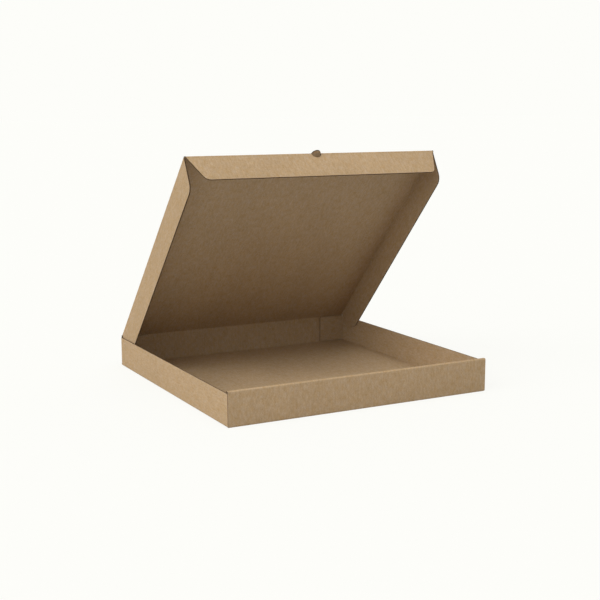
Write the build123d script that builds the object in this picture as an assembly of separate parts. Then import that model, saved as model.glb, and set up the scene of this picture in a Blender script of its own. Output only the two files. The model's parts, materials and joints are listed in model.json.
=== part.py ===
# Folding carton box for a pizza, die-cut from one sheet of corrugated board
# Millimetres, +Z up, standing on its floor, origin under the middle of the tray
# -Y is the front, +Y is the hinge side; the lid is drawn open

import os
from math import sqrt

from build123d import *

# The board
BOARD = 1.5
# Air between plies that lie face to face
PLY_GAP = 0.15
# Mid-line radius of a creased fold
BEND = 1.0

# The tray, over its outer faces
TRAY_WIDTH = 330.0
TRAY_DEPTH = 331.0
SIDE_HEIGHT = 36.2
# Top of the front wall, where the board rolls over to the inside
FRONT_CREST = 39.3
# The back wall stops short of the side walls' outer faces
BACK_INSET = 1.2

# Corner flaps, which the side walls fold round behind the front and back walls
CORNER_FLAP = 38.0
CORNER_LIFT = 0.8
CORNER_ROUND = 1.2

# Two tabs of the rolled-in ply lock into slots of the floor
LOCK_WIDTH = 34.0
LOCK_SPACING = 176.0
LOCK_ROUND = 1.0
# The tabs stop just short of the underside
LOCK_RISE = 0.2
SLOT_PLAY = 0.3

# The lid, hinged on the back wall's top crease
LID_OPEN = 47.5
# Room beside the lid's flaps, under the lid, and where its front flap swings past the front wall
SIDE_CLEAR = 0.3
LID_CLEAR = 0.15
SWING_CLEAR = 0.15
# Room along each crease, where one panel turns on the next
CREASE_GAP = 0.3
# The crease crushes the inside of a flap's first edge, so that it can fold past square
CREASE_BEVEL = 1.0

# The lid's flaps, measured from their crease lines
FRONT_FLAP = 35.0
FRONT_MITRE = 13.4
FRONT_ROUND = 8.0
SIDE_FLAP = 35.3
SIDE_MITRE = 12.5
SIDE_ROUND = 12.0
# Each mitre starts beside the lid's corner
MITRE_START = 1.3
# The rear ends are cut away below, so that they swing down into the tray
REAR_STRAIGHT = 24.0
REAR_CUT = 17.3
REAR_ROUND = 6.0
REAR_CLEAR = 0.3

# The half-moon finger tab, which stays in the lid's plane and leaves a hole in the front flap
TAB_RADIUS = 5.9
TAB_CLEAR = 0.25

# Derived sizes

half = BOARD / 2
outer_bend = BEND + half
ply = BOARD + PLY_GAP
x_side = TRAY_WIDTH / 2
y_wall = TRAY_DEPTH / 2

# The side walls and their flaps lie inside the front and back walls
y_fold = y_wall - ply
# Three plies make the front wall: outer face, corner flap, rolled-in ply
front_thickness = BOARD + 2 * ply
y_inner_ply = -y_wall + front_thickness

# The hinge line lies in the middle of the back wall's board, above the side walls
y_hinge = y_wall - half
z_hinge = SIDE_HEIGHT + half + LID_CLEAR

# Crease lines of the side flaps, from the middle of the lid
x_crease = x_side - BOARD - SIDE_CLEAR - half
# Crease line of the front flap, from the hinge: the flap's lower edge swings past the front wall
swing = y_hinge - y_inner_ply - SWING_CLEAR
lid_length = sqrt(swing**2 - FRONT_FLAP**2) - half
# The first board of each hinged panel, from its crease line
panel_start = half + CREASE_GAP
# The side flaps start in front of the rear corner flaps
flap_rear = y_hinge - y_fold + BOARD + REAR_CLEAR


def folded(points, radius, plane, reach):
    """Board folded along a mid-line and run to both sides of a plane."""
    mid_line = FilletPolyline(*points, radius=radius)
    return extrude(plane * trace(mid_line, BOARD), reach, both=True)


def block(x, y, z):
    """Box between two values on each axis."""
    size = (x[1] - x[0], y[1] - y[0], z[1] - z[0])
    return Pos(x[0], y[0], z[0]) * Box(*size, align=(Align.MIN, Align.MIN, Align.MIN))


def rod(start, end):
    """Rounded edge of the board along a crease line."""
    line = Line(start, end)
    return extrude(Plane(start, z_dir=line % 0) * Circle(half), line.length)


def crushed(flap, along, across):
    """Flap with the inside of its creased edge bevelled off."""
    creased = flap.edges().filter_by(along).group_by(Axis.Z)[-1]
    return chamfer(creased.group_by(across)[-1], CREASE_BEVEL)


# The tray's floor, up to its folds

x_flat = x_side - outer_bend
y_flat = y_wall - outer_bend
floor = block((-x_flat, x_flat), (-y_flat, y_flat), (0, BOARD))

# The front wall rises, rolls over its crest and comes down inside as a third ply

roll = 0.45 * (front_thickness - BOARD)
y_front_mid = half - y_wall
y_inner_mid = y_inner_ply - half
front_points = [
    (y_front_mid + 2 * BEND, half),
    (y_front_mid, half),
    (y_front_mid, FRONT_CREST - half),
    (y_inner_mid, FRONT_CREST - half),
    (y_inner_mid, ply),
]
front = folded(front_points, [BEND, roll, roll], Plane.YZ, x_side)

# The rolled-in ply is narrower than the front: it stands between the side walls

notch_y = (BOARD - y_wall, y_inner_ply + BOARD)
notch_z = (BOARD, SIDE_HEIGHT + PLY_GAP)
end_notch = block((x_side - ply, x_side + BOARD), notch_y, notch_z)
front -= [end_notch, mirror(end_notch, Plane.YZ)]

# The lock tabs reach down from it into the floor's slots

tab_side = Rectangle(LOCK_WIDTH, 2 * ply, align=(Align.CENTER, Align.MIN))
tab_side = fillet(tab_side.vertices().group_by(Axis.Y)[0], LOCK_ROUND)
tab_plane = Plane((0, y_inner_mid, LOCK_RISE), x_dir=(1, 0, 0), z_dir=(0, -1, 0))
lock_tab = extrude(tab_plane * tab_side, half, both=True)
lock_slot = Pos(0, y_inner_mid, half) * Box(LOCK_WIDTH + 2 * SLOT_PLAY, BOARD + 2 * SLOT_PLAY, ply)
lock_places = [Pos(-LOCK_SPACING / 2, 0, 0), Pos(LOCK_SPACING / 2, 0, 0)]
lock_tabs = [place * lock_tab for place in lock_places]
lock_slots = [place * lock_slot for place in lock_places]

# The back wall rises to the hinge line and ends in the hinge crease's rounded edge

x_back = x_side - BACK_INSET
y_back_mid = y_wall - half
back_points = [
    (y_back_mid - 2 * BEND, half),
    (y_back_mid, half),
    (y_back_mid, z_hinge),
]
back = folded(back_points, BEND, Plane.YZ, x_back)
back += rod((-x_back, y_hinge, z_hinge), (x_back, y_hinge, z_hinge))

# A side wall rises from the floor

x_side_mid = x_side - half
side_points = [
    (x_side_mid - 2 * BEND, half),
    (x_side_mid, half),
    (x_side_mid, SIDE_HEIGHT),
]
side = folded(side_points, BEND, Plane.XZ, y_fold)

# At both ends it folds round into the corner flaps, whose lower edges clear the floor

z_flap = BOARD + CORNER_LIFT
y_straight = y_fold - outer_bend
for end in (-1, 1):
    y_end = sorted((end * y_straight, end * (y_fold + BOARD)))
    side -= block((x_side - outer_bend, x_side + BOARD), y_end, (z_flap, SIDE_HEIGHT + BOARD))
flap_points = [
    (x_side - CORNER_FLAP, half - y_fold),
    (x_side_mid, half - y_fold),
    (x_side_mid, y_fold - half),
    (x_side - CORNER_FLAP, y_fold - half),
]
flap_plan = trace(FilletPolyline(*flap_points, radius=BEND), BOARD)
side_flaps = extrude(Pos(0, 0, z_flap) * flap_plan, SIDE_HEIGHT - z_flap)
flap_corners = side_flaps.edges().filter_by(Axis.Y).group_by(Axis.X)[0]
side_flaps = fillet(flap_corners, CORNER_ROUND)
side += side_flaps

# The tray is one folded piece

tray = floor + front + back + side + mirror(side, Plane.YZ)
tray -= lock_slots
tray += lock_tabs

# The lid is drawn closed, with the hinge line as its X axis, and -Y towards the front

panel = block((-x_crease, x_crease), (-lid_length, -panel_start), (-half, half))
left_rear = (-x_crease, -panel_start, 0)
left_front = (-x_crease, -lid_length, 0)
right_front = (x_crease, -lid_length, 0)
right_rear = (x_crease, -panel_start, 0)
panel += rod(left_rear, left_front)
panel += rod(left_front, right_front)
panel += rod(right_front, right_rear)
panel += [Pos(*left_front) * Sphere(half), Pos(*right_front) * Sphere(half)]
panel += Pos(0, -lid_length, -half) * extrude(Circle(TAB_RADIUS), BOARD)

# The front flap hangs from the front crease, with mitred ends and the finger tab's half-moon

x_mitre = x_crease - MITRE_START
front_outline = FilletPolyline(
    (-x_mitre, -panel_start),
    (FRONT_MITRE - x_mitre, -FRONT_FLAP),
    (x_mitre - FRONT_MITRE, -FRONT_FLAP),
    (x_mitre, -panel_start),
    radius=[0, FRONT_ROUND, FRONT_ROUND, 0],
    close=True,
)
front_shape = make_face(front_outline) - Circle(TAB_RADIUS + TAB_CLEAR)
front_plane = Plane((0, -lid_length, 0), x_dir=(1, 0, 0), z_dir=(0, -1, 0))
front_flap = extrude(front_plane * front_shape, half, both=True)
front_flap = crushed(front_flap, Axis.X, Axis.Y)

# A side flap hangs from each side crease: mitred in front, cut away below at the rear

s_mitre = lid_length - MITRE_START
side_outline = FilletPolyline(
    (flap_rear, -panel_start),
    (flap_rear, -REAR_STRAIGHT),
    (flap_rear + REAR_CUT, -SIDE_FLAP),
    (s_mitre - SIDE_MITRE, -SIDE_FLAP),
    (s_mitre, -panel_start),
    radius=[0, REAR_ROUND, REAR_ROUND, SIDE_ROUND, 0],
    close=True,
)
side_plane = Plane((-x_crease, 0, 0), x_dir=(0, -1, 0), z_dir=(-1, 0, 0))
left_flap = extrude(side_plane * make_face(side_outline), half, both=True)
left_flap = crushed(left_flap, Axis.Y, Axis.X)
right_flap = mirror(left_flap, Plane.YZ)

# The lid and its flaps swing up about the hinge line

opened = Pos(0, y_hinge, z_hinge) * Rot(X=-LID_OPEN)
parts = {
    "tray": tray,
    "lid": opened * panel,
    "lid_front_flap": opened * front_flap,
    "lid_left_flap": opened * left_flap,
    "lid_right_flap": opened * right_flap,
}

os.makedirs("parts", exist_ok=True)
for name, shape in parts.items():
    export_step(shape, f"parts/{name}.step")
    size = shape.bounding_box().size
    print(f"{name}: {len(shape.solids())} solid, {shape.volume / 1000:.2f} cm3, {size}")
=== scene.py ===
# %% [markdown]
# # A pizza box, folded from one sheet of corrugated board
#
# The real box is cut flat by a die, scored, and folded up by hand. Its board is a sandwich: a brown
# kraft liner outside, another inside, and a wavy sheet between them, the flutes.
#
# A plain slab with a brown colour would be quicker. Here the flat sheet is drawn first and then folded,
# as in the factory, so that every fold, every cut edge and the grain of the paper fall where they do on
# the real box.

# %% Load the frame
import json
from math import ceil, cos, pi, radians, sin, tan

import bpy
import numpy as np
from mathutils import Matrix, Vector, geometry

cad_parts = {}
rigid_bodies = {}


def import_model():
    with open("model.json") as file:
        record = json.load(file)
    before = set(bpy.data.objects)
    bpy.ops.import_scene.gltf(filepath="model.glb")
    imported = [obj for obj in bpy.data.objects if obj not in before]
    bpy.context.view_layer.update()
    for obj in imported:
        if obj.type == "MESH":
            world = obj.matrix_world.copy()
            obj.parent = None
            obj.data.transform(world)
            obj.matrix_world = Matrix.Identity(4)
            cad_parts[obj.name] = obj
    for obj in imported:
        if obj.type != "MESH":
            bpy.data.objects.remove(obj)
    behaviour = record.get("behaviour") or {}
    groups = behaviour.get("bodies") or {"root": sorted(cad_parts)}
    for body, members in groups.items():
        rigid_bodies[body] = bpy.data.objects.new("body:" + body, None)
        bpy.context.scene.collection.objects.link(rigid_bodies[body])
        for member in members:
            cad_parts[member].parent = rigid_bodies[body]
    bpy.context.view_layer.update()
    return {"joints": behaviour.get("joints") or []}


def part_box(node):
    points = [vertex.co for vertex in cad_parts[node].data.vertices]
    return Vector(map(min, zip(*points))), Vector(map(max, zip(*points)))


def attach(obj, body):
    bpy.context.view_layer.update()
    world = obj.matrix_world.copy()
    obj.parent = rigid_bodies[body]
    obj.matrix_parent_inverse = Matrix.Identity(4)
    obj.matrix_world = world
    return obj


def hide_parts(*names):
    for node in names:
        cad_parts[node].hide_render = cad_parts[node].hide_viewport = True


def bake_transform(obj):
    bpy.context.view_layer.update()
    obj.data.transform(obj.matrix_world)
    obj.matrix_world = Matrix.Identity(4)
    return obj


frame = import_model()
MM = 0.001

# %% [markdown]
# ## The sizes
#
# The sizes of the tray and the places of the hinge lines come from the frame, so the looks follow the
# solids. The board's own sizes are written here. All lengths are in millimetres until a mesh is made.

# %% Read the sizes
joints = {joint["name"]: joint for joint in frame["joints"]}
tray_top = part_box("tray")[1] / MM
X_SIDE, Y_WALL, Z_CREST = tray_top
Y_HINGE, Z_HINGE = (joints["lid_hinge"]["pos_m"][axis] / MM for axis in (1, 2))
X_CREASE = joints["right_flap_crease"]["pos_m"][0] / MM
front_crease = joints["front_flap_crease"]["pos_m"]
LID_LENGTH = np.hypot(front_crease[1] / MM - Y_HINGE, front_crease[2] / MM - Z_HINGE)
LID_ANGLE = np.arctan2(front_crease[2] / MM - Z_HINGE, Y_HINGE - front_crease[1] / MM)
print(f"tray {2 * X_SIDE:.1f} x {2 * Y_WALL:.1f} mm")
print(f"lid {LID_LENGTH:.2f} mm long, open {np.degrees(LID_ANGLE):.1f} degrees")

# %% The board's own sizes
BOARD = 1.5
HALF = BOARD / 2
# Plies that lie face to face keep a little air between them
PLY_GAP = 0.15
PLY = BOARD + PLY_GAP
# What a knife takes from an edge
KERF = 0.05
BEND = 1.0
OUTER_BEND = BEND + HALF
# The front wall rolls over in two close creases
ROLL = 1.0
SIDE_HEIGHT = 36.2
FLAP_FOOT = 2.3
CORNER_FLAP = 38.0
LINER = 0.22
FLUTE_PAPER = 0.16
FLUTE_PITCH = 3.3
FLUTE_STEPS = 8
# The half width of the crushed strip along a hinged crease
CREASE = 2.0
# The die knife crushes the board along every cut
CRUSH_WIDTH, CRUSH_DEPTH = 0.7, 0.12
flute_height = HALF - LINER - FLUTE_PAPER / 2
print(f"flutes {2 * flute_height:.2f} mm high, {FLUTE_PITCH} mm apart")

# %% [markdown]
# ## The camera
#
# The camera stands where the photographer stood: at the left of the box, a little above it. Its place was
# found by fitting the box's edges to the photograph, in a picture 600 pixels wide.

# %% Set the camera
azimuth, elevation = radians(-28.151), radians(9.849)
target = Vector((0, 0, 60)) * MM
aside, above, distance = 7.012 * MM, 35.981 * MM, 1394.219 * MM
backward = Vector((sin(azimuth) * cos(elevation), -cos(azimuth) * cos(elevation), sin(elevation)))
rightward = Vector((cos(azimuth), sin(azimuth), 0))
upward = backward.cross(rightward)
focal_pixels, picture_pixels, sensor = 1140.802, 600, 36
things = bpy.context.scene.collection.objects
camera_data = bpy.data.cameras.new("camera")
camera_data.sensor_width = sensor
camera_data.lens = focal_pixels / picture_pixels * sensor
camera_data.clip_end = 50
camera = bpy.data.objects.new("camera", camera_data)
camera.matrix_world = Matrix((rightward, upward, backward)).transposed().to_4x4()
camera.location = target + aside * rightward + above * upward + distance * backward
things.link(camera)
bpy.context.scene.camera = camera
print("camera at", [round(value, 3) for value in camera.location], "lens", round(camera_data.lens, 2))

# %% [markdown]
# ## Folding a sheet
#
# A fold path says how a line drawn on the flat sheet runs once the sheet is folded: straight runs, and
# bends that each turn it by a right angle. The path gives, for any distance along the flat sheet, the
# place on the board's middle and the direction that faces out of it.
#
# Bending finished walls with a modifier would also work, but a written path keeps lengths exact: what is
# 36 mm long on the flat sheet is 36 mm long on the box.


# %% Fold paths
class FoldPath:
    """Straight runs and bends of a flat sheet, starting along the first axis with the outside below."""

    def __init__(self, start, steps):
        self.legs, at, place, angle = [], 0.0, np.array(start, float), 0.0
        for length, radius in steps:
            self.legs.append((at, length, place, angle, radius))
            if radius:
                centre = place + radius * np.array([-sin(angle), cos(angle)])
                angle += length / radius
                place = centre + radius * np.array([sin(angle), -cos(angle)])
            else:
                place = place + length * np.array([cos(angle), sin(angle)])
            at += length
        self.end = at
        self.stops = [leg[0] for leg in self.legs] + [at]

    def __call__(self, distance, offset):
        """Folded place of points at a distance along the sheet and an offset towards its outside."""
        distance, offset = np.broadcast_arrays(np.asarray(distance, float), np.asarray(offset, float))
        out = np.zeros(distance.shape + (2,))
        for index, (at, length, place, angle, radius) in enumerate(self.legs):
            last = index == len(self.legs) - 1
            here = (distance >= at) & ((distance < at + length) | last)
            along = (distance - at)[here]
            turned = angle + along / radius if radius else np.full(along.shape, angle)
            outward = np.stack([np.sin(turned), -np.cos(turned)], -1)
            if radius:
                centre = place + radius * np.array([-sin(angle), cos(angle)])
                middle = centre + radius * outward
            else:
                middle = place + along[:, None] * np.array([cos(angle), sin(angle)])
            out[here] = middle + offset[here][:, None] * outward
        return out

    def bend_lines(self, steps=5):
        """Distances at which the sheet needs an edge to bend smoothly."""
        lines = []
        for at, length, _, _, radius in self.legs:
            if radius:
                lines += list(np.linspace(at, at + length, steps + 1))
        return sorted(set(np.round(lines, 6)))


quarter = pi / 2 * BEND
quarter_roll = pi / 2 * ROLL
x_floor, y_floor = X_SIDE - OUTER_BEND, Y_WALL - OUTER_BEND
y_fold = Y_WALL - PLY
# The lock tabs at the end of the front strip stop just short of the underside
LOCK_RISE = 0.2
inner_ply_gap = 2 * PLY - 2 * ROLL
roll_foot = Z_CREST - HALF - ROLL
front_path = FoldPath(
    (0, HALF),
    [
        (y_floor, 0),
        (quarter, BEND),
        (roll_foot - OUTER_BEND, 0),
        (quarter_roll, ROLL),
        (inner_ply_gap, 0),
        (quarter_roll, ROLL),
        (roll_foot - LOCK_RISE, 0),
    ],
)
back_rise = Z_HINGE - CREASE - OUTER_BEND
back_path = FoldPath((0, HALF), [(y_floor, 0), (quarter, BEND), (back_rise, 0)])
side_path = FoldPath((0, HALF), [(x_floor, 0), (quarter, BEND), (SIDE_HEIGHT - OUTER_BEND, 0)])
corner_run = y_fold - OUTER_BEND
corner_path = FoldPath((0, 0), [(corner_run, 0), (quarter, BEND), (CORNER_FLAP - OUTER_BEND, 0)])
print(f"front strip {front_path.end:.1f} mm, side strip {side_path.end:.1f} mm from the middle of the floor")

# %% [markdown]
# ## The tray's fold
#
# The tray's sheet folds in three ways. The front and back strips rise from the floor, and the front one
# rolls over and comes down inside. The side walls rise from the floor. Each side wall then folds round at
# both ends into a corner flap, which lies against the front or the back wall.


# %% Fold the tray
def fold_tray(flat, offset):
    """Places in millimetres of flat points (across, along) with an offset towards the outside."""
    across, along = flat[:, 0], flat[:, 1]
    out = np.zeros((len(flat), 3))
    # Past the floor's side, points between the slits fold with the side walls. The corner flaps lie further
    # out than the front and back strips reach
    slack = 0.1
    flap = np.abs(across) > X_SIDE + slack
    wing = (np.abs(across) > side_path.stops[1] - 1e-6) & (np.abs(along) < y_fold + slack) | flap
    front = ~wing & (along < 0)
    back = ~wing & (along >= 0)
    for strip, path in ((front, front_path), (back, back_path)):
        folded = path(np.abs(along[strip]), offset[strip])
        out[strip] = np.stack([across[strip], np.sign(along[strip]) * folded[:, 0], folded[:, 1]], -1)
    folded = side_path(np.abs(across[wing]), offset[wing])
    out[wing] = np.stack([np.sign(across[wing]) * folded[:, 0], along[wing], folded[:, 1]], -1)
    turned = flap & (np.abs(along) > corner_path.stops[1])
    folded = corner_path(np.abs(along[turned]), offset[turned])
    height = side_path(np.abs(across[turned]), 0 * offset[turned])[:, 1]
    sideways = np.sign(across[turned]) * (X_SIDE - HALF - folded[:, 1])
    out[turned] = np.stack([sideways, np.sign(along[turned]) * folded[:, 0], height], -1)
    return out


# %% [markdown]
# ## Drawing the flat sheet
#
# The outline of a piece is drawn as the die maker draws it, with rounded corners where the knife turns.
# A helper rounds the corners of a polygon.


# %% Draw outlines
def rounded(points, radii, steps=6):
    """Polygon with some corners rounded; radii has one value for each point."""
    out = []
    for index, (corner, radius) in enumerate(zip(points, radii)):
        corner = np.array(corner, float)
        if not radius:
            out.append(tuple(corner))
            continue
        before = np.array(points[index - 1], float) - corner
        after = np.array(points[(index + 1) % len(points)], float) - corner
        before, after = before / np.linalg.norm(before), after / np.linalg.norm(after)
        half_angle = np.arccos(np.clip(before @ after, -1, 1)) / 2
        reach = radius / tan(half_angle)
        centre = corner + (before + after) / np.linalg.norm(before + after) * radius / sin(half_angle)
        first, last = corner + before * reach - centre, corner + after * reach - centre
        turn = np.arctan2(first[0] * last[1] - first[1] * last[0], first @ last)
        for part in np.linspace(0, turn, steps + 1):
            c, s = cos(part), sin(part)
            out.append((centre[0] + c * first[0] - s * first[1], centre[1] + s * first[0] + c * first[1]))
    return out


def arc(centre, radius, first, last, steps):
    """Points of a circle's arc between two angles in degrees."""
    angles = np.radians(np.linspace(first, last, steps + 1))
    return [(centre[0] + radius * cos(a), centre[1] + radius * sin(a)) for a in angles]


# %% [markdown]
# The tray's outline, from the front of the sheet round its right half, and mirrored. The front strip ends
# in two tabs that lock into slots of the floor. The slits at the corners set the side walls free from the
# front and back walls.

# %% The tray's outline
LOCK_HALF, LOCK_PLACE, LOCK_ROUND, SLOT_PLAY = 17.0, 88.0, 1.0, 0.3
CORNER_ROUND = 1.2
# The back wall stops short of the side walls' outer faces
X_BACK = X_SIDE - 1.2
front_end, back_end, side_end, corner_end = front_path.end, back_path.end, side_path.end, corner_path.end
tab_root = front_end - (PLY - LOCK_RISE)
ply_notch = front_path.stops[6] + (roll_foot - SIDE_HEIGHT - PLY_GAP)
lock_in, lock_out = LOCK_PLACE - LOCK_HALF, LOCK_PLACE + LOCK_HALF
flap_root = side_path.stops[2] + FLAP_FOOT - OUTER_BEND
# The slits part the side walls from the front and back walls, a knife's width on both sides of the fold
y_slit, y_strip = y_fold - KERF, y_fold + KERF
right_half = [
    (lock_in, -tab_root, 0),
    (lock_in, -front_end, LOCK_ROUND),
    (lock_out, -front_end, LOCK_ROUND),
    (lock_out, -tab_root, 0),
    (X_SIDE - PLY, -tab_root, 0),
    (X_SIDE - PLY, -ply_notch, 0),
    (X_SIDE, -ply_notch, 0),
    (X_SIDE, -y_strip, 0),
    (x_floor, -y_fold, 0),
    (x_floor, -y_slit, 0),
    (flap_root, -y_slit, 0),
    (flap_root, -corner_end, CORNER_ROUND),
    (side_end, -corner_end, CORNER_ROUND),
    (side_end, corner_end, CORNER_ROUND),
    (flap_root, corner_end, CORNER_ROUND),
    (flap_root, y_slit, 0),
    (x_floor, y_slit, 0),
    (x_floor, y_fold, 0),
    (X_BACK, y_strip, 0),
    (X_BACK, back_end, 0),
]
left_half = [(-x, y, radius) for x, y, radius in reversed(right_half)]
tray_corners = right_half + left_half
tray_radii = [radius for _, _, radius in tray_corners]
tray_outline = rounded([corner[:2] for corner in tray_corners], tray_radii, 4)
y_inner_middle = -(Y_WALL - HALF) + 2 * PLY
slot_x, slot_y = LOCK_HALF + SLOT_PLAY, HALF + SLOT_PLAY
slot = [(-slot_x, -slot_y), (slot_x, -slot_y), (slot_x, slot_y), (-slot_x, slot_y)]
tray_slots = [[(side * LOCK_PLACE + x, y_inner_middle + y) for x, y in slot] for side in (-1, 1)]
print(f"tray outline: {len(tray_outline)} points")
print(f"flat sheet without the lid: {2 * side_end:.0f} x {front_end + back_end:.0f} mm")

# %% [markdown]
# ## From outline to board
#
# The outline is cut into triangles, with extra lines where it bends and a narrow band along every cut,
# where the die knife crushes the board. Each liner is a closed skin with its own thickness, so the edges
# show two thin papers with the flutes between them.
#
# A boolean cut would leave ragged faces here. A triangulation that must contain given lines is exact, and
# Blender has one in mathutils.


# %% Measure distances to the cuts
def edges_of(loops):
    """Start and end points of all the edges of closed loops."""
    starts = np.concatenate([np.array(loop, float) for loop in loops])
    ends = np.concatenate([np.roll(np.array(loop, float), -1, axis=0) for loop in loops])
    return starts, ends


def distance_to_cut(flat, loops, joins, chunk=4000):
    """Distance from flat points to the nearest cut. joins are lines where the board runs on in a crease."""
    starts, ends = edges_of(loops)
    joined = np.zeros(len(starts), bool)
    for axis, value in joins:
        joined |= (np.abs(starts[:, axis] - value) < 1e-6) & (np.abs(ends[:, axis] - value) < 1e-6)
    starts, ends = starts[~joined], ends[~joined]
    run = ends - starts
    squared = np.maximum((run**2).sum(1), 1e-12)
    out = np.empty(len(flat))
    for first in range(0, len(flat), chunk):
        part = flat[first : first + chunk, None, :]
        share = np.clip(((part - starts) * run).sum(2) / squared, 0, 1)
        gap = part - (starts + share[..., None] * run)
        out[first : first + chunk] = np.sqrt((gap**2).sum(2).min(1))
    return out


def on_join(point, joins):
    """Whether a flat point lies on a line where the board runs on in a crease."""
    return any(abs(point[axis] - value) < 1e-6 for axis, value in joins)


def fade_points(loop, joins, fade=1.0):
    """The loop with a point more on each cut, just before it meets a join, where the crushing fades out."""
    out = []
    for here, there in zip(loop, loop[1:] + loop[:1]):
        out.append(here)
        length = np.hypot(there[0] - here[0], there[1] - here[1])
        if on_join(here, joins) != on_join(there, joins) and length > 2 * fade:
            share = fade / length if on_join(here, joins) else 1 - fade / length
            out.append((here[0] + share * (there[0] - here[0]), here[1] + share * (there[1] - here[1])))
    return out


def inside(flat, loops):
    """Which flat points lie inside the outline and outside its holes."""
    starts, ends = edges_of(loops)
    x, y = flat[:, :1], flat[:, 1:]
    crosses = (starts[:, 1] > y) != (ends[:, 1] > y)
    rise = np.where(ends[:, 1] == starts[:, 1], 1, ends[:, 1] - starts[:, 1])
    meets = starts[:, 0] + (y - starts[:, 1]) * (ends[:, 0] - starts[:, 0]) / rise
    return ((crosses & (meets > x)).sum(1) % 2).astype(bool)


# %% Cut a sheet into triangles
def inset(loop, width):
    """The loop moved inwards by a width, corner by corner."""
    points = np.array(loop, float)
    before, after = points - np.roll(points, 1, 0), np.roll(points, -1, 0) - points
    before /= np.linalg.norm(before, axis=1)[:, None]
    after /= np.linalg.norm(after, axis=1)[:, None]
    normals = [np.stack([-edge[:, 1], edge[:, 0]], 1) for edge in (before, after)]
    middle = normals[0] + normals[1]
    scale = 2 / np.maximum((middle**2).sum(1), 0.5)
    area = (points[:, 0] * np.roll(points[:, 1], -1) - np.roll(points[:, 0], -1) * points[:, 1]).sum()
    return points + np.sign(area) * width * middle * scale[:, None]


def cut_sheet(loops, bends):
    """Flat points and triangles of a sheet that must have edges along its bends and its crushed band."""
    points, edges = [], []

    def add(line, closed):
        first = len(points)
        points.extend(Vector(point) for point in line)
        edges.extend((first + i, first + i + 1) for i in range(len(line) - 1))
        if closed:
            edges.append((first + len(line) - 1, first))

    for index, loop in enumerate(loops):
        add(loop, True)
        add(inset(loop, CRUSH_WIDTH if index == 0 else -CRUSH_WIDTH), True)
    for bend in bends:
        add(bend, False)
    made = geometry.delaunay_2d_cdt(points, edges, [], 0, 1e-5)
    flat = np.array([tuple(point) for point in made[0]])
    faces = np.array(made[2])
    middles = flat[faces].mean(1)
    faces = faces[inside(middles, loops)]
    corners = flat[faces]
    first, second = corners[:, 1] - corners[:, 0], corners[:, 2] - corners[:, 0]
    spread = first[:, 0] * second[:, 1] - first[:, 1] * second[:, 0]
    faces[spread < 0] = faces[spread < 0][:, ::-1]
    faces = faces[np.abs(spread) > 1e-7]
    used, faces = np.unique(faces, return_inverse=True)
    return flat[used], faces.reshape(-1, 3)


# %% [markdown]
# A closed skin is made from flat faces: one copy of them at the lower offset, one at the upper, and a rim
# that joins them along every open edge. Each point also keeps its flat place, the side of the board that
# it is on, and how near it is to a cut, for the materials.


# %% Make closed skins
class Skins:
    """Gathers closed skins of board into one mesh."""

    def __init__(self, fold, flat_place):
        self.fold, self.flat_place = fold, flat_place
        self.places, self.flats, self.cuts, self.faces, self.kinds, self.count = [], [], [], [], [], 0

    def add(self, flat, faces, low, high, cut, side, kinds=(0, 1, 2)):
        """A skin between two offsets. kinds are the materials of its outer, hidden and rim faces."""
        total = len(flat)
        for offset in (low, high):
            self.places.append(self.fold(flat, np.broadcast_to(offset, total).astype(float)))
            blank = self.flat_place(flat)
            self.flats.append(np.column_stack([blank, np.full(total, side)]))
            self.cuts.append(np.broadcast_to(cut, total))
        under, over = self.count, self.count + total
        faces = [tuple(face) for face in faces]
        for face in faces:
            self.faces.append(tuple(over + corner for corner in face))
            self.faces.append(tuple(under + corner for corner in reversed(face)))
            self.kinds += kinds[:2] if side > 0 else kinds[1::-1]
        open_edges = {}
        for face in faces:
            for a, b in zip(face, face[1:] + face[:1]):
                if not open_edges.pop((b, a), False):
                    open_edges[(a, b)] = True
        for a, b in open_edges:
            self.faces.append((under + a, under + b, over + b, over + a))
            self.kinds.append(kinds[2])
        self.count += 2 * total

    def piece(self, name, materials, smooth=40):
        """The object made of all skins so far."""
        mesh = bpy.data.meshes.new(name)
        mesh.from_pydata((np.concatenate(self.places) * MM).tolist(), [], self.faces)
        flats = mesh.attributes.new("flat", "FLOAT_VECTOR", "POINT")
        blank = np.concatenate(self.flats) * np.array([MM, MM, 1])
        flats.data.foreach_set("vector", blank.astype(np.float32).ravel())
        cuts = mesh.attributes.new("cut", "FLOAT", "POINT")
        cuts.data.foreach_set("value", np.concatenate(self.cuts).astype(np.float32))
        for material in materials:
            mesh.materials.append(material)
        mesh.polygons.foreach_set("material_index", self.kinds)
        mesh.shade_smooth()
        mesh.set_sharp_from_angle(angle=radians(smooth))
        mesh.validate()
        mesh.update()
        made = bpy.data.objects.new(name, mesh)
        things.link(made)
        triangles = sum(len(face) - 2 for face in self.faces)
        print(f"{name}: {len(mesh.vertices)} points, {triangles} triangles")
        return made


def crushed(distance):
    """How much the die knife has crushed the board at a distance from a cut: 1 at the cut."""
    return np.clip(1 - distance / CRUSH_WIDTH, 0, 1)


def add_liners(skins, flat, faces, loops, joins):
    """Both liners of a sheet, each a closed skin, crushed along the cuts."""
    cut = crushed(distance_to_cut(flat, loops, joins))
    cut[[on_join(point, joins) for point in flat]] = 0
    outer = HALF - CRUSH_DEPTH * cut
    skins.add(flat, faces, outer - LINER, outer, cut, 1)
    skins.add(flat, faces, -outer, LINER - outer, cut, -1)


# %% [markdown]
# ## The flutes
#
# The flutes run along the sheet from the front to the back. They are laid in as one wavy skin, column by
# column, and each column ends a little inside the cut. In a real box they can be seen along every cut edge,
# and they make the faint stripes that show through the liners.


# %% Lay the flutes
def crossings(place, loops):
    """Where a straight line along the flat sheet meets the cuts, in order."""
    starts, ends = edges_of(loops)
    here, there = starts[:, 0], ends[:, 0]
    met = (here > place) != (there > place)
    share = (place - here[met]) / (there[met] - here[met])
    return np.sort(starts[met, 1] + share * (ends[met, 1] - starts[met, 1]))


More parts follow.
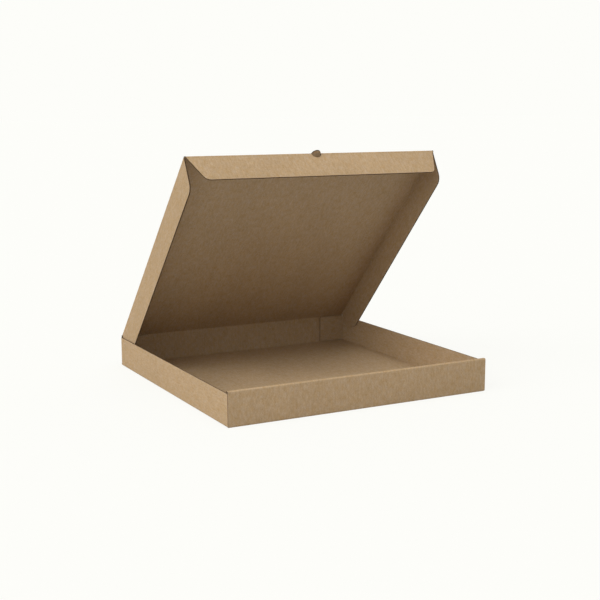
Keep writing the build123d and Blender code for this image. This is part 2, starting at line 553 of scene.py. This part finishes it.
def add_flutes(skins, loops, bends, joins):
    """The wavy paper between the liners, with edges across it at the bends."""
    outline = np.array(loops[0])
    step = FLUTE_PITCH / FLUTE_STEPS
    # Each column ends a setback inside the cuts. Its edges across lie at the bends, and in all but short
    # columns just past the crushed band, and never closer than the least
    setback, least, past_crush, short = 0.3, 0.05, 0.8, 3
    first = int(ceil((outline[:, 0].min() + setback) / step))
    last = int((outline[:, 0].max() - setback) / step)
    points, order, faces = [], {}, []

    def corner(column, along):
        key = (column, round(along, 4))
        if key not in order:
            order[key] = len(points)
            points.append((column * step, along))
        return order[key]

    for column in range(first, last):
        meets = crossings((column + 0.5) * step, loops)
        for low, high in zip(meets[::2], meets[1::2]):
            low, high = low + setback, high - setback
            if high - low < 2 * setback:
                continue
            rows = [low] + [b for b in bends if low + least < b < high - least] + [high]
            if high - low > short:
                rows = sorted(set(rows + [low + past_crush, high - past_crush]))
            for a, b in zip(rows, rows[1:]):
                after = column + 1
                faces.append((corner(column, a), corner(after, a), corner(after, b), corner(column, b)))
    flat = np.array(points)
    cut = crushed(distance_to_cut(flat, loops, joins))
    height = flute_height - CRUSH_DEPTH * cut
    wave = height * np.sin(2 * pi * flat[:, 0] / FLUTE_PITCH)
    # The knife leaves four fifths of the flutes' paper
    thick = FLUTE_PAPER / 2 * (1 - 0.2 * cut)
    skins.add(flat, faces, wave - thick, wave + thick, cut, 1, (0, 0, 0))


# %% [markdown]
# ## Kraft paper
#
# Kraft liner is brown because it keeps the colour of the wood. Seen near, it is a felt of fibres: soft
# clouds a few millimetres wide, thin darker fibres that lie mostly along the paper machine's direction, and
# a few specks. Over the flutes the liner sinks a little, which shows as faint stripes.
#
# A photograph of paper as a texture would repeat and stretch. Noise in the flat sheet's own coordinates
# costs nothing, never repeats and runs on over the folds, because the folds don't change those coordinates.


# %% Node helpers
def node(tree, kind, label="", **values):
    """A new node with its settings."""
    made = tree.nodes.new(kind)
    made.label = label
    for name, value in values.items():
        setattr(made, name, value)
    return made


def new_group(name, inputs, outputs):
    """A node group with its named sockets, and its nodes for what comes in and what goes out."""
    group = bpy.data.node_groups.new(name, "ShaderNodeTree")
    for label, kind, value in inputs:
        socket = group.interface.new_socket(label, in_out="INPUT", socket_type="NodeSocket" + kind)
        if value is not None:
            socket.default_value = value
    for label, kind in outputs:
        group.interface.new_socket(label, in_out="OUTPUT", socket_type="NodeSocket" + kind)
    return group, node(group, "NodeGroupInput"), node(group, "NodeGroupOutput")


def plug(tree, socket, value):
    """Feeds an input from another node's output, or with a number or colour."""
    if isinstance(value, bpy.types.NodeSocket):
        tree.links.new(value, socket)
    else:
        socket.default_value = value


def sums(tree, operation, *values, clamp=False):
    """A maths node whose inputs are sockets or numbers."""
    made = node(tree, "ShaderNodeMath", operation=operation, use_clamp=clamp)
    for socket, value in zip(made.inputs, values):
        plug(tree, socket, value)
    return made.outputs[0]


def mix_colour(tree, blend, factor, first, second):
    """A colour mix whose inputs are sockets or colours."""
    made = node(tree, "ShaderNodeMix", data_type="RGBA", blend_type=blend)
    for name, value in (("Factor_Float", factor), ("A_Color", first), ("B_Color", second)):
        plug(tree, next(s for s in made.inputs if s.identifier == name), value)
    return next(s for s in made.outputs if s.identifier == "Result_Color")


def remap(tree, value, low, high, to_low=0.0, to_high=1.0):
    """A value stretched from one range to another, and clamped to it."""
    made = node(tree, "ShaderNodeMapRange", clamp=True)
    for socket, given in zip(made.inputs, (value, low, high, to_low, to_high)):
        plug(tree, socket, given)
    return made.outputs["Result"]


def swing(tree, value, size):
    """A noise that swings about zero, times a size."""
    return sums(tree, "MULTIPLY", sums(tree, "SUBTRACT", value, 0.5), size)


def noise(tree, vector, along, scale, detail, label, rough=0.5):
    """Noise over the flat sheet, drawn out along it where along is under 1."""
    mapping = node(tree, "ShaderNodeMapping", label)
    plug(tree, mapping.inputs["Vector"], vector)
    plug(tree, mapping.inputs["Scale"], (1, along, 1))
    made = node(tree, "ShaderNodeTexNoise", label)
    values = {"Vector": mapping.outputs["Vector"], "Scale": scale, "Detail": detail, "Roughness": rough}
    for name, value in values.items():
        plug(tree, made.inputs[name], value)
    return made.outputs["Fac"]


# %% [markdown]
# The fibre group turns a flat place into a colour and a height. Its clouds are a few millimetres wide and
# stretched along the sheet, its fibres are a third of a millimetre across, and its specks are rare.

# %% The fibre group
fibres, enter, leave = new_group(
    "kraft fibres",
    [
        ("Flat place", "Vector", None),
        ("Paper", "Color", (0.5, 0.35, 0.21, 1)),
        ("Clouds", "Float", 1.0),
        ("Specks", "Float", 1.0),
    ],
    [("Colour", "Color"), ("Height", "Float")],
)
# Thin places in the pulp look darker and yellower, thick ones paler and pinker
OCHRE, PALE = (0.78, 0.66, 0.30, 1), (1.22, 1.34, 1.70, 1)
COOL, WARM = (0.92, 0.98, 1.12, 1), (1.08, 1.02, 0.88, 1)
SPECK = (0.62, 0.52, 0.42, 1)
# How strong the broad shade, the patches, the fibres and the grain are, and how far the grain stands up
BROAD, PATCHES, THREADS, GRAIN, GRAIN_HEIGHT = 0.16, 0.32, 1.35, 0.14, 0.6
place = enter.outputs["Flat place"]
large = noise(fibres, place, 0.5, 22, 2, "broad shade")
clouds = noise(fibres, place, 0.38, 420, 3, "clouds", 0.6)
patches = noise(fibres, place, 0.45, 120, 2, "patches")
threads = noise(fibres, place, 0.22, 2300, 3, "fibres", 0.65)
warmth = noise(fibres, place, 0.6, 300, 2, "warmth")
grain = noise(fibres, place, 0.8, 5200, 2, "grain", 0.6)
specks = noise(fibres, place, 0.45, 900, 1, "specks")
cloud_part = swing(fibres, clouds, enter.outputs["Clouds"])
patch_part = swing(fibres, patches, PATCHES)
thread_part = swing(fibres, threads, THREADS)
grain_part = sums(fibres, "SUBTRACT", grain, 0.5)
shade = sums(fibres, "MULTIPLY_ADD", sums(fibres, "SUBTRACT", large, 0.5), BROAD, 1.0)
shade = sums(fibres, "MULTIPLY_ADD", grain_part, GRAIN, shade)
lit = node(fibres, "ShaderNodeVectorMath", operation="SCALE")
plug(fibres, lit.inputs[0], enter.outputs["Paper"])
plug(fibres, lit.inputs["Scale"], shade)
mottle = sums(fibres, "ADD", sums(fibres, "ADD", cloud_part, thread_part), patch_part)
mottle = sums(fibres, "ADD", mottle, 0.5, clamp=True)
tint = mix_colour(fibres, "MIX", mottle, OCHRE, PALE)
tint = mix_colour(fibres, "MULTIPLY", 1.0, tint, mix_colour(fibres, "MIX", warmth, COOL, WARM))
tinted = mix_colour(fibres, "MULTIPLY", 1.0, lit.outputs[0], tint)
speck_mask = sums(fibres, "MULTIPLY", remap(fibres, specks, 0.74, 0.8), enter.outputs["Specks"])
specked = mix_colour(fibres, "MULTIPLY", speck_mask, tinted, SPECK)
height = sums(fibres, "ADD", thread_part, sums(fibres, "MULTIPLY", grain_part, GRAIN_HEIGHT))
plug(fibres, leave.inputs["Colour"], specked)
plug(fibres, leave.inputs["Height"], height)
print("fibre group:", len(fibres.nodes), "nodes")

# %% [markdown]
# The washboard group gives the stripes that the flutes press into the liners. It counts the flutes with the
# same pitch as the wavy skin, so that the stripes lie over the real flutes.

# %% The washboard group
inputs, outputs = [("Flat place", "Vector", None)], [("Ridge", "Float")]
washboard, enter, leave = new_group("flute washboard", inputs, outputs)
parts = node(washboard, "ShaderNodeSeparateXYZ")
plug(washboard, parts.inputs[0], enter.outputs["Flat place"])
turns = sums(washboard, "DIVIDE", parts.outputs["X"], FLUTE_PITCH * MM)
wave = sums(washboard, "SINE", sums(washboard, "MULTIPLY", turns, 2 * pi))
wave = sums(washboard, "MULTIPLY", wave, parts.outputs["Z"])
# Where there is little glue, a quarter of the stripes' depth is left
uneven = noise(washboard, enter.outputs["Flat place"], 0.12, 60, 2, "uneven glue")
ridge = sums(washboard, "MULTIPLY", wave, remap(washboard, uneven, 0.3, 0.7, 0.25, 1.0))
plug(washboard, leave.inputs["Ridge"], ridge)
print("washboard group:", len(washboard.nodes), "nodes")

# %% [markdown]
# The wear group turns the nearness of a cut into a thin pale lip, broken up by noise. The lip is partly where
# the liner's fibres stand up after the knife and rub off first, and partly a painted highlight along the
# crushed edge.

# %% The wear group
inputs, outputs = [("Flat place", "Vector", None), ("Cut", "Float", 0.0)], [("Lip", "Float")]
# The lip is partly rubbed fibres and partly a painted highlight on the crushed edge
lip_wear_and_highlight, enter, leave = new_group("cut wear", inputs, outputs)
# How far noise moves the lip's edge, and the nearness at which the lip starts and is full
RAGGED, START, FULL = 0.5, 0.3, 0.9
ragged = noise(lip_wear_and_highlight, enter.outputs["Flat place"], 1, 700, 2, "ragged")
edge = sums(lip_wear_and_highlight, "ADD", enter.outputs["Cut"], swing(lip_wear_and_highlight, ragged, RAGGED))
plug(lip_wear_and_highlight, leave.inputs["Lip"], remap(lip_wear_and_highlight, edge, START, FULL))
print("wear group:", len(lip_wear_and_highlight.nodes), "nodes")


# %% [markdown]
# Every paper in the box uses these groups with its own values: the liners, the hidden side of the liners
# with the flutes, and the cut edges, where the knife leaves rougher fibres. The flutes and the cut edges are
# coloured far darker than the liners: painted shade of the hollows between the flutes. The inside liner is
# coloured a little darker and less red than the outside: a painted tint for the shade inside the box.


# %% The papers
# How far the flutes' stripes shade the paper and lift it, and how far a lip, partly painted highlight, shows
STRIPE_SHADE, STRIPE_LIFT, LIP = 0.012, 0.35, 0.55
# How far the fibres change the roughness, how much the paper shines, and how high the bumps are in metres
ROUGHNESS_SWING, SHINE, BUMP_HEIGHT = 0.06, 0.25, 0.00008


def paper(name, colour, inner_colour, lip_colour, clouds, specks, roughness, bump):
    """A kraft paper: fibres, flute stripes and pale lips, partly worn and partly painted highlight, in the
    flat sheet's coordinates.
    """
    material = bpy.data.materials.new(name)
    material.use_nodes = True
    tree = material.node_tree
    shader = tree.nodes["Principled BSDF"]
    flat = node(tree, "ShaderNodeAttribute", "flat place", attribute_name="flat")
    cut = node(tree, "ShaderNodeAttribute", "nearness of a cut", attribute_name="cut")
    felt = node(tree, "ShaderNodeGroup", "fibres", node_tree=fibres)
    sides = node(tree, "ShaderNodeSeparateXYZ", "outer or inner side")
    plug(tree, sides.inputs[0], flat.outputs["Vector"])
    # The inner side can take its own colour; for the liner it is a painted tint for the shade inside the box
    inner_side = sums(tree, "LESS_THAN", sides.outputs["Z"], 0.0)
    sheet = mix_colour(tree, "MIX", inner_side, (*colour, 1), (*inner_colour, 1))
    for socket, value in (("Paper", sheet), ("Clouds", clouds), ("Specks", specks)):
        plug(tree, felt.inputs[socket], value)
    stripes = node(tree, "ShaderNodeGroup", "washboard", node_tree=washboard)
    lips = node(tree, "ShaderNodeGroup", "lip_wear_and_highlight", node_tree=lip_wear_and_highlight)
    for group in (felt, stripes, lips):
        plug(tree, group.inputs["Flat place"], flat.outputs["Vector"])
    plug(tree, lips.inputs["Cut"], cut.outputs["Fac"])
    striped = sums(tree, "MULTIPLY_ADD", stripes.outputs["Ridge"], STRIPE_SHADE, 1.0)
    scaled = node(tree, "ShaderNodeVectorMath", operation="SCALE")
    plug(tree, scaled.inputs[0], felt.outputs["Colour"])
    plug(tree, scaled.inputs["Scale"], striped)
    lip = sums(tree, "MULTIPLY", lips.outputs["Lip"], LIP)
    # The pale lip is partly rubbed fibres and partly a painted highlight on the crushed edge
    worn_and_highlighted = mix_colour(tree, "MIX", lip, scaled.outputs[0], (*lip_colour, 1))
    plug(tree, shader.inputs["Base Color"], worn_and_highlighted)
    smoothest, roughest = roughness - ROUGHNESS_SWING, roughness + ROUGHNESS_SWING
    rough = remap(tree, felt.outputs["Height"], -0.3, 0.3, smoothest, roughest)
    plug(tree, shader.inputs["Roughness"], rough)
    shader.inputs["Specular IOR Level"].default_value = SHINE
    height = sums(tree, "MULTIPLY_ADD", stripes.outputs["Ridge"], STRIPE_LIFT, felt.outputs["Height"])
    bumps = node(tree, "ShaderNodeBump", "fibres and flutes")
    for socket, value in (("Strength", bump), ("Distance", BUMP_HEIGHT), ("Height", height)):
        plug(tree, bumps.inputs[socket], value)
    plug(tree, shader.inputs["Normal"], bumps.outputs["Normal"])
    return material


# The inside liner is a little darker and less red than the outside: a painted tint for the shade inside the
# box
OUTSIDE, INSIDE_SHADE_TINT = (0.467, 0.324, 0.183), (0.445, 0.318, 0.187)
# The flutes' paper and the cut edges are painted dark: painted shade of the hollows between the flutes
FLUTES_PAINTED_SHADE, CUTS_PAINTED_SHADE = (0.18, 0.11, 0.058), (0.085, 0.049, 0.024)
# Each paper: its colours outside, inside and on its lips, then its clouds, specks, roughness and bumps
looks = {
    "kraft liner": (OUTSIDE, INSIDE_SHADE_TINT, (0.56, 0.41, 0.26), 0.85, 1.0, 0.86, 0.6),
    "flute paper": (FLUTES_PAINTED_SHADE, FLUTES_PAINTED_SHADE, (0.16, 0.098, 0.05), 0.6, 0.3, 0.9, 0.4),
    "cut edge": (CUTS_PAINTED_SHADE, CUTS_PAINTED_SHADE, (0.1, 0.06, 0.03), 0.8, 0.3, 0.92, 0.8),
}
papers = [paper(name, *values) for name, values in looks.items()]
flute_paper = papers[1]
print("papers:", [material.name for material in papers])

# %% [markdown]
# ## The tray
#
# The floor, the walls, the corner flaps, the rolled front and its lock tabs are one folded sheet, so they
# are one piece here too: both liners, and the flutes between them.

# %% Fold up the tray
def board(name, fold, flat_place, loops, joins, bends=(), rows=(), mirrored=False):
    """A sheet's two pieces: both liners, and the flutes between them."""
    flat, faces = cut_sheet(loops, bends)
    liners, flutes = Skins(fold, flat_place), Skins(fold, flat_place)
    add_liners(liners, flat, faces[:, ::-1] if mirrored else faces, loops, joins)
    add_flutes(flutes, loops, rows, joins)
    return liners.piece(name + "_liners", papers), flutes.piece(name + "_flutes", [flute_paper], 60)


tray_joins = [(1, back_end)]
tray_loops = [fade_points(tray_outline, tray_joins)] + tray_slots
tray_bends = [[(-X_SIDE, -t), (X_SIDE, -t)] for t in front_path.bend_lines()]
tray_bends += [[(-X_BACK, t), (X_BACK, t)] for t in back_path.bend_lines()]
for side in (-1, 1):
    tray_bends += [[(side * t, -y_slit), (side * t, y_slit)] for t in side_path.bend_lines()]
    for end in (-1, 1):
        for t in corner_path.bend_lines():
            tray_bends.append([(side * flap_root, end * t), (side * side_end, end * t)])
tray_rows = [-t for t in front_path.bend_lines(4)] + list(back_path.bend_lines(4))
tray_rows += [end * t for end in (-1, 1) for t in corner_path.bend_lines(4)]
tray = board("tray", fold_tray, lambda flat: flat, tray_loops, tray_joins, tray_bends, sorted(tray_rows))

# %% [markdown]
# ## The lid and its flaps
#
# The lid goes on from the back wall in the same sheet. It is drawn flat here, then turned to the angle at
# which it stands open. Its front and side flaps hang from creases, and a half-moon in the front crease
# stays in the lid's plane: a tab for the finger, which leaves a hole in the front flap.


# %% Place the lid
def open_lid(x, y, z):
    """Places of points given in the closed lid's frame, with the hinge line as its first axis."""
    c, s = cos(LID_ANGLE), sin(LID_ANGLE)
    return np.stack([x, Y_HINGE + c * y + s * z, Z_HINGE - s * y + c * z], -1)


def fold_lid(flat, offset):
    return open_lid(flat[:, 0], -flat[:, 1], offset)


def fold_front_flap(flat, offset):
    return open_lid(flat[:, 0], -LID_LENGTH - offset, -flat[:, 1])


def fold_side_flap(side):
    """Flat points of a side flap are (down, along)."""
    return lambda flat, offset: open_lid(side * (X_CREASE + offset), -flat[:, 1], -flat[:, 0])


def sheet_place(start):
    """Flat places on the whole sheet, for a panel that starts at a distance along it."""
    return lambda flat: flat + [0, start]


hinge_flat = back_path.end + CREASE
print(f"hinge line at {hinge_flat:.1f} mm on the flat sheet")

# %% The lid's outline
TAB, TAB_HOLE = 5.9, 6.15
# The side flaps start this far in front of the hinge line, and the lid is wider behind them
FLAP_REAR, LUG = 2.7, 0.7
# Each flap's mitre starts this far from the lid's corner, and this far below its crease line
MITRE_START, MITRE_ROOT = 1.3, 1.05
# The panel's front corners are cut off a little
CORNER_CUT = 0.3
x_panel, s_panel = X_CREASE - CREASE, LID_LENGTH - CREASE
x_mitre, s_mitre = X_CREASE - MITRE_START, LID_LENGTH - MITRE_START
# Between its flaps, the lid's corner reaches out over both creases
x_corner, s_corner = X_CREASE + HALF - PLY_GAP, LID_LENGTH + HALF - PLY_GAP
lid_right = [
    (X_CREASE + LUG, CREASE),
    (X_CREASE + LUG, FLAP_REAR - KERF),
    (x_panel, FLAP_REAR - KERF),
    (x_panel, s_panel - CORNER_CUT),
    (X_CREASE, s_mitre - KERF),
    (x_corner, s_mitre - KERF),
    (x_corner, s_corner),
    (x_mitre - KERF, s_corner),
    (x_mitre - KERF, LID_LENGTH),
    (x_panel - CORNER_CUT, s_panel),
    (TAB, s_panel),
]
lid_left = [(-x, s) for x, s in reversed(lid_right)]
lid_outline = lid_right + arc((0, LID_LENGTH), TAB, 0, 180, 24) + lid_left
lid_joins = [(0, x_panel), (0, -x_panel), (1, CREASE), (1, s_panel)]
lid_loops = [fade_points(lid_outline, lid_joins)]
lid = board("lid", fold_lid, sheet_place(hinge_flat), lid_loops, lid_joins)

# %% [markdown]
# The front flap has cut back ends with rounded corners, and the side flaps are cut back at the front and
# cut away below at the rear, so that they swing down into the tray without catching.

# %% The flaps' outlines
FRONT_FLAP, FRONT_MITRE, FRONT_ROUND = 35.0, 13.4, 8
SIDE_FLAP, SIDE_MITRE, SIDE_ROUND = 35.3, 12.5, 12
REAR_STRAIGHT, REAR_CUT, REAR_ROUND = 24.0, 17.3, 6


def mitred(start, cut_back, depth, t):
    """Where a flap's mitred end stands at a distance from its crease line."""
    return start - cut_back * max(t - MITRE_ROOT, 0) / (depth - MITRE_ROOT)


x_root = mitred(x_mitre, FRONT_MITRE, FRONT_FLAP, CREASE)
front_points = [
    (x_root, CREASE),
    (x_mitre - FRONT_MITRE, FRONT_FLAP),
    (FRONT_MITRE - x_mitre, FRONT_FLAP),
    (-x_root, CREASE),
]
hole_angle = np.degrees(np.arcsin(CREASE / TAB_HOLE))
front_outline = rounded(front_points, [0, FRONT_ROUND, FRONT_ROUND, 0])
front_outline += arc((0, 0), TAB_HOLE, 180 - hole_angle, hole_angle, 20)
side_points = [
    (CREASE, FLAP_REAR),
    (REAR_STRAIGHT, FLAP_REAR),
    (SIDE_FLAP, FLAP_REAR + REAR_CUT),
    (SIDE_FLAP, s_mitre - SIDE_MITRE),
    (CREASE, mitred(s_mitre, SIDE_MITRE, SIDE_FLAP, CREASE)),
]
side_outline = rounded(side_points, [0, REAR_ROUND, REAR_ROUND, SIDE_ROUND, 0], 8)
print("flaps", FRONT_FLAP, "and", SIDE_FLAP, "mm deep")

# %% Make the flaps
front_join, side_join = [(1, CREASE)], [(0, CREASE)]
front_loops, side_loops = [fade_points(front_outline, front_join)], [fade_points(side_outline, side_join)]


def side_place(side):
    """Flat places of a side flap on the whole sheet, from points (down, along)."""
    return lambda flat: np.column_stack([side * (X_CREASE + flat[:, 0]), flat[:, 1] + hinge_flat])


front_place = sheet_place(hinge_flat + LID_LENGTH)
front_flap = board("front_flap", fold_front_flap, front_place, front_loops, front_join)
side_flaps = {}
for side, name in ((-1, "left_flap"), (1, "right_flap")):
    fold, flat_place = fold_side_flap(side), side_place(side)
    side_flaps[name] = board(name, fold, flat_place, side_loops, side_join, mirrored=side < 0)

# %% [markdown]
# ## The creases
#
# Where the lid turns on the back wall, and the flaps on the lid, the board is crushed along a line and runs
# through unbroken. Each crease is a narrow strip of its own. It starts straight, and each row across it is
# turned about the hinge line by its share of the angle.


# %% Make crease strips
# The bead's height, its half width, and the air on both sides of the strip's core
BEAD, BEAD_WIDTH, CORE_AIR = 0.08, 0.9, 0.01


def crease_strip(name, angle, place, ends, flat_place, rows=12):
    """A bent strip. place puts (along, across, offset) points, ends gives its two ends for each row."""
    across = np.linspace(-CREASE, CREASE, rows + 1)
    share = (across + CREASE) / (2 * CREASE)
    share = share * share * (3 - 2 * share)
    flat, turn, faces = [], [], []
    for row, (t, part) in enumerate(zip(across, share)):
        low, high = ends(t)
        flat += [(low, t), (high, t)]
        turn += [part * angle] * 2
        if row:
            first = 2 * row - 2
            faces.append((first, first + 1, first + 3, first + 2))
    flat, turn = np.array(flat), np.array(turn)
    # Folding pushes the inner liner up into a soft bead, out to where the two panels' faces would meet
    bead = (HALF / cos(angle / 2) - HALF + BEAD) * np.exp(-((flat[:, 1] / BEAD_WIDTH) ** 2))

    def fold(points, offset):
        t, c, s = points[:, 1], np.cos(turn), np.sin(turn)
        out = offset * c - t * s
        out = np.where(t < 0, np.minimum(out, offset), out)
        return place(points[:, 0], t * c + offset * s, out)

    skins = Skins(fold, flat_place)
    outer, inner = np.full(len(flat), HALF), -HALF - bead
    skins.add(flat, faces, outer - LINER, outer, 0.0, 1)
    skins.add(flat, faces, inner, inner + LINER, 0.0, -1)
    skins.add(flat, faces, inner + LINER + CORE_AIR, outer - LINER - CORE_AIR, 0.0, 1, (1, 1, 2))
    return skins.piece(name, papers, 50)


print("strips of", 2 * CREASE, "mm")

# %% The hinge crease
def hinge_place(along, across, offset):
    """Up the back wall, with the outside behind."""
    return np.stack([along, Y_HINGE + offset, Z_HINGE + across], -1)


hinge_angle = pi / 2 - LID_ANGLE
x_hinge = X_SIDE - BOARD - KERF
hinge_ends = lambda t: (-x_hinge, x_hinge)
hinge_crease = crease_strip("hinge_crease", hinge_angle, hinge_place, hinge_ends, sheet_place(hinge_flat))

# %% The flaps' creases
def strip_end(t, panel_end, start, cut_back, depth):
    """How far a flap's strip reaches: out from the lid's cut corner, then back along the flap's mitre."""
    corner = panel_end - CORNER_CUT
    if t < 0:
        return corner + (t + CREASE) / CREASE * (start - corner)
    return mitred(start, cut_back, depth, t)


def front_strip_place(along, across, offset):
    """Out over the lid's front crease."""
    return open_lid(along, -LID_LENGTH - across, offset)


front_creases = []
for side, name in ((-1, "front_crease_left"), (1, "front_crease_right")):

    def front_ends(t, side=side):
        outer = strip_end(t, x_panel, x_mitre, FRONT_MITRE, FRONT_FLAP)
        inner = np.sqrt(max(TAB_HOLE**2 - max(t, 0) ** 2, 0)) + KERF
        return (inner, outer) if side > 0 else (-outer, -inner)

    front_creases.append(crease_strip(name, pi / 2, front_strip_place, front_ends, front_place))

side_creases = {}
for side, name in ((-1, "left_crease"), (1, "right_crease")):

    def side_ends(t, side=side):
        outer = strip_end(t, s_panel, s_mitre, SIDE_MITRE, SIDE_FLAP)
        return (outer, FLAP_REAR) if side > 0 else (FLAP_REAR, outer)

    side_creases[name] = crease_strip(
        name,
        pi / 2,
        lambda along, across, offset, side=side: open_lid(side * (X_CREASE + across), -along, offset),
        side_ends,
        lambda flat, side=side: side_place(side)(flat[:, ::-1]),
    )

# %% [markdown]
# ## Riding on the frame
#
# Each board's pieces hide the solid that they stand for and move with its body. The crease strips keep the
# shape they were made in, each row turned by its share of the joint's angle.

# %% Ride on the bodies
boards = {"tray": tray, "lid": lid, "front_flap": front_flap, **side_flaps}
for body, (liners, flutes) in boards.items():
    solid = "lid_" + body if body.endswith("flap") else body
    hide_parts(solid)
    for made in (liners, flutes):
        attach(made, body)

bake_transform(hinge_crease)
for strip in front_creases:
    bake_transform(strip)
for side, name in ((-1, "left"), (1, "right")):
    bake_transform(side_creases[name + "_crease"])

# %% [markdown]
# ## The studio
#
# The photograph has an even white ground, soft light from the left and more from above. Area lamps or an
# evenly lit world would do, but two very wide suns light every place alike, so the box may be moved. A world
# that is brighter overhead fills the shadows. The floor is white to the camera and keeps a soft shadow of the
# box. Light that the floor throws back on the box comes from its plain side, which is a middling grey.

# %% The sky and the lamps
def seen_directly(tree):
    """1 where the camera looks, straight or by a reflection or through a clear thing, and 0 elsewhere."""
    seen = node(tree, "ShaderNodeLightPath")
    bent = sums(tree, "MAXIMUM", seen.outputs["Is Glossy Ray"], seen.outputs["Is Transmission Ray"])
    return sums(tree, "MAXIMUM", seen.outputs["Is Camera Ray"], bent)


def mix_shader(tree, factor, first, second):
    """A mix of two shaders."""
    made = node(tree, "ShaderNodeMixShader")
    for socket, value in zip(made.inputs, (factor, first.outputs[0], second.outputs[0])):
        plug(tree, socket, value)
    return made


ground = (0.982, 0.982, 0.947)
world = bpy.data.worlds.new("studio")
bpy.context.scene.world = world
world.use_nodes = True
tree = world.node_tree
tree.nodes.clear()
fill = node(tree, "ShaderNodeBackground", "fill")
backdrop = node(tree, "ShaderNodeBackground", "backdrop")
fill.inputs["Color"].default_value = (1, 1, 1, 1)
HORIZON, ZENITH = 0.155, 0.815
sky_place = node(tree, "ShaderNodeTexCoord")
sky_parts = node(tree, "ShaderNodeSeparateXYZ")
plug(tree, sky_parts.inputs[0], sky_place.outputs["Generated"])
plug(tree, fill.inputs["Strength"], remap(tree, sky_parts.outputs["Z"], 0.0, 1.0, HORIZON, ZENITH))
backdrop.inputs["Color"].default_value = (*ground, 1)
studio = mix_shader(tree, seen_directly(tree), fill, backdrop)
plug(tree, node(tree, "ShaderNodeOutputWorld").inputs["Surface"], studio.outputs[0])

# Each lamp: its share of full light, how wide it is, and the direction towards it
lamps = {
    "key": (0.505, 50, (-0.87, -0.15, 0.47)),
    "top light": (0.25, 40, (0, -0.34, 0.94)),
}
for name, (share, width, towards) in lamps.items():
    lamp_data = bpy.data.lights.new(name, "SUN")
    lamp_data.energy = share * pi
    lamp_data.angle = radians(width)
    lamp = bpy.data.objects.new(name, lamp_data)
    lamp.rotation_euler = Vector(towards).to_track_quat("Z", "Y").to_euler()
    things.link(lamp)
print("sky", HORIZON, "to", ZENITH, "lamps", list(lamps))

# %% The floor
floor_mesh = bpy.data.meshes.new("floor")
span = 20.0
corners = [(-span, -span, 0), (span, -span, 0), (span, span, 0), (-span, span, 0)]
floor_mesh.from_pydata(corners, [], [(0, 1, 2, 3)])
floor = bpy.data.objects.new("floor", floor_mesh)
things.link(floor)
floor_material = bpy.data.materials.new("studio floor")
floor_material.use_nodes = True
tree = floor_material.node_tree
tree.nodes.clear()
# The shadow's share of what the camera sees on the ground, and the colours that are lit
SHADOW_SHARE = 0.12
LIT, THROWN = (0.935, 0.935, 0.902, 1), (0.62, 0.62, 0.62, 1)
glow = node(tree, "ShaderNodeEmission", "white ground")
glow.inputs["Color"].default_value = (*ground, 1)
shaded = node(tree, "ShaderNodeBsdfDiffuse", "keeps the shadow")
shaded.inputs["Color"].default_value = LIT
plain = node(tree, "ShaderNodeBsdfDiffuse", "throws light back")
plain.inputs["Color"].default_value = THROWN
whole = mix_shader(tree, seen_directly(tree), plain, mix_shader(tree, SHADOW_SHARE, glow, shaded))
plug(tree, node(tree, "ShaderNodeOutputMaterial").inputs["Surface"], whole.outputs[0])
floor_mesh.materials.append(floor_material)
bpy.context.scene.view_settings.view_transform = "Standard"
print("floor of", 2 * span, "m")
